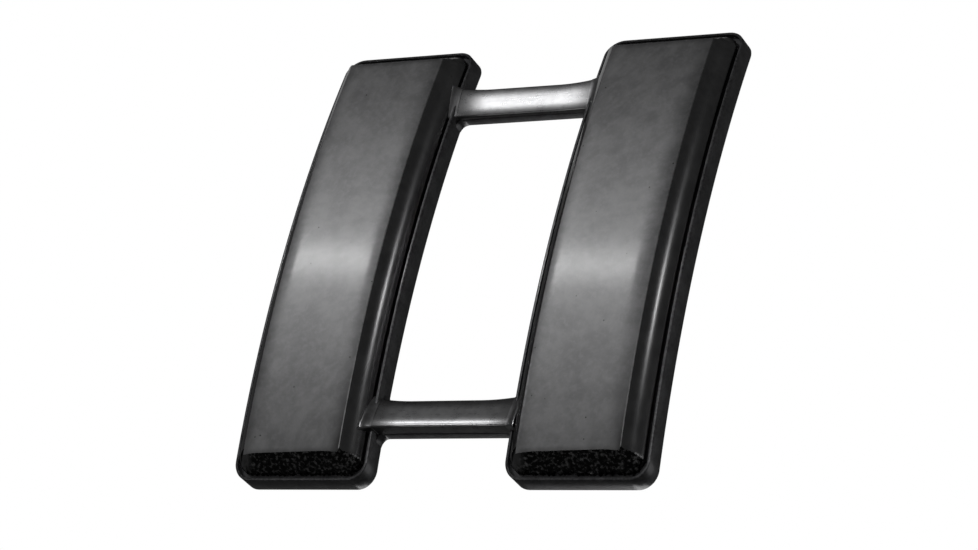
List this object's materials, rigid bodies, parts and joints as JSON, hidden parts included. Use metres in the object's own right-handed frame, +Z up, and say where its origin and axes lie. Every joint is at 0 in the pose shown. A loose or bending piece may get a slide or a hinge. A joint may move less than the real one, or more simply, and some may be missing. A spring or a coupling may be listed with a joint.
{
  "type": "double bar insignia pin",
  "caption": "Bowed double-bar insignia: bevelled black metal bars on a flanged plate, joined by slim crossbars, with hinged pins and turning safety catches behind.",
  "frame": {"origin": "middle of the plane where the ends of the bowed back touch the garment, halfway between the bars and halfway up them", "axes": "+Z up along the bars as worn, the face looks along -Y, the garment lies towards +Y, +X to the right as seen from the front"},
  "size_m": [0.018, 0.0048, 0.019],
  "materials": {
    "black_metal": "polished black oxide over brass",
    "nickel": "nickel plated, lightly brushed",
    "steel": "drawn and polished",
    "solder": "dull soft solder"
  },
  "bodies": {
    "insignia": {"backing_plate": "black_metal", "left_bar": "black_metal", "right_bar": "black_metal", "upper_crossbar": "black_metal", "lower_crossbar": "black_metal", "solder_collar_upper_left": "black_metal", "solder_collar_upper_right": "black_metal", "solder_collar_lower_left": "black_metal", "solder_collar_lower_right": "black_metal", "hinge_solder_left": "solder", "catch_solder_left": "solder", "hinge_bracket_left": "nickel", "hinge_rivet_left": "nickel", "catch_housing_left": "nickel", "hinge_solder_right": "solder", "catch_solder_right": "solder", "hinge_bracket_right": "nickel", "hinge_rivet_right": "nickel", "catch_housing_right": "nickel"},
    "pin_left": {"pin_stem_left": "steel"},
    "barrel_left": {"catch_barrel_left": "nickel"},
    "pin_right": {"pin_stem_right": "steel"},
    "barrel_right": {"catch_barrel_right": "nickel"}
  },
  "joints": [
    {"name": "pin_hinge_left", "type": "hinge", "parent": "insignia", "child": "pin_left", "pos_m": [-0.006, 0.00125, 0.0065], "axis": [1, 0, 0], "range_deg": [0, 110]},
    {"name": "catch_turn_left", "type": "hinge", "parent": "insignia", "child": "barrel_left", "pos_m": [-0.006, 0.00125, -0.0061], "axis": [0, 0, -1], "range_deg": [0, 110]},
    {"name": "pin_hinge_right", "type": "hinge", "parent": "insignia", "child": "pin_right", "pos_m": [0.006, 0.00125, 0.0065], "axis": [1, 0, 0], "range_deg": [0, 110]},
    {"name": "catch_turn_right", "type": "hinge", "parent": "insignia", "child": "barrel_right", "pos_m": [0.006, 0.00125, -0.0061], "axis": [0, 0, -1], "range_deg": [0, 110]}
  ]
}
